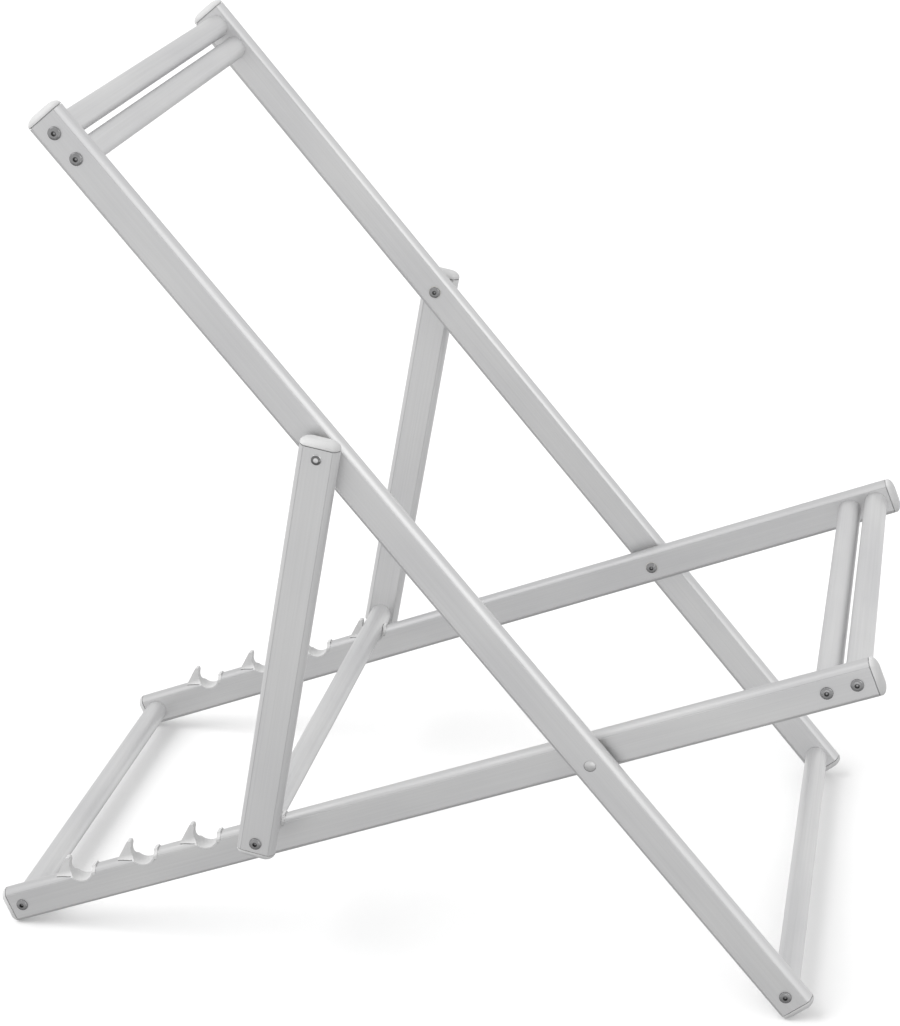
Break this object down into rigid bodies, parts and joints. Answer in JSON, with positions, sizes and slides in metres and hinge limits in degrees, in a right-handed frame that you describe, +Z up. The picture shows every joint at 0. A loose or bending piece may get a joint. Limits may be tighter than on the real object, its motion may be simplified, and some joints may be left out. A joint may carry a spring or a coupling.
{
  "type": "deck chair frame",
  "caption": "Bare folding deck chair frame: long back rails pivoted on notched seat rails, held by a prop frame, with round bars for a sling and domed rail caps.",
  "frame": {"origin": "bottom centre of the bounding box, on the floor under the middle of the chair", "axes": "+X towards the free front end of the seat rails, +Y towards the sitter's left, +Z up"},
  "size_m": [0.9156, 0.5744, 0.9019],
  "materials": {
    "rail_aluminium": "satin anodised, fine lines along the rail",
    "bar_aluminium": "satin anodised",
    "cap_plastic": "moulded, satin",
    "notch_plastic": "moulded, satin",
    "bush_plastic": "moulded",
    "plug_aluminium": "turned",
    "flush_sleeve_aluminium": "turned, flush",
    "fastener_steel": "polished head"
  },
  "bodies": {
    "seat_frame": {"left_seat_rail": "rail_aluminium", "right_seat_rail": "rail_aluminium", "left_seat_front_cap": "cap_plastic", "left_seat_rear_cap": "cap_plastic", "right_seat_front_cap": "cap_plastic", "right_seat_rear_cap": "cap_plastic", "front_bar": "bar_aluminium", "second_front_bar": "bar_aluminium", "rear_bar": "bar_aluminium", "seat_bar_screws": "fastener_steel", "seat_bar_plugs": "plug_aluminium", "left_notch_block_1": "notch_plastic", "left_notch_block_2": "notch_plastic", "left_notch_block_3": "notch_plastic", "left_notch_block_4": "notch_plastic", "right_notch_block_1": "notch_plastic", "right_notch_block_2": "notch_plastic", "right_notch_block_3": "notch_plastic", "right_notch_block_4": "notch_plastic", "seat_pivot_bushes": "bush_plastic"},
    "back_frame": {"left_back_rail": "rail_aluminium", "right_back_rail": "rail_aluminium", "left_back_head_cap": "cap_plastic", "left_back_foot_cap": "cap_plastic", "right_back_head_cap": "cap_plastic", "right_back_foot_cap": "cap_plastic", "head_bar": "bar_aluminium", "second_head_bar": "bar_aluminium", "foot_bar": "bar_aluminium", "back_bar_screws": "fastener_steel", "back_bar_plugs": "plug_aluminium", "seat_pivot_sleeves": "flush_sleeve_aluminium", "seat_pivot_screws": "fastener_steel", "prop_pivot_bushes": "bush_plastic"},
    "prop_frame": {"left_prop_rail": "rail_aluminium", "right_prop_rail": "rail_aluminium", "left_prop_top_cap": "cap_plastic", "left_prop_bottom_cap": "cap_plastic", "right_prop_top_cap": "cap_plastic", "right_prop_bottom_cap": "cap_plastic", "prop_bar": "bar_aluminium", "prop_bar_screws": "fastener_steel", "prop_bar_plugs": "plug_aluminium", "prop_pivot_sleeves": "fastener_steel", "prop_pivot_screws": "fastener_steel"}
  },
  "joints": [
    {"name": "back_fold", "type": "hinge", "parent": "seat_frame", "child": "back_frame", "pos_m": [0.18091, 0, 0.26935], "axis": [0, 1, 0], "range_deg": [0, 101.5]},
    {"name": "prop_fold", "type": "hinge", "parent": "back_frame", "child": "prop_frame", "pos_m": [-0.0764, 0, 0.58016], "axis": [0, 1, 0], "range_deg": [-45, 0]}
  ],
  "couplings": [
    {"joint": "prop_fold", "follows": "back_fold", "ratio": -0.44}
  ]
}
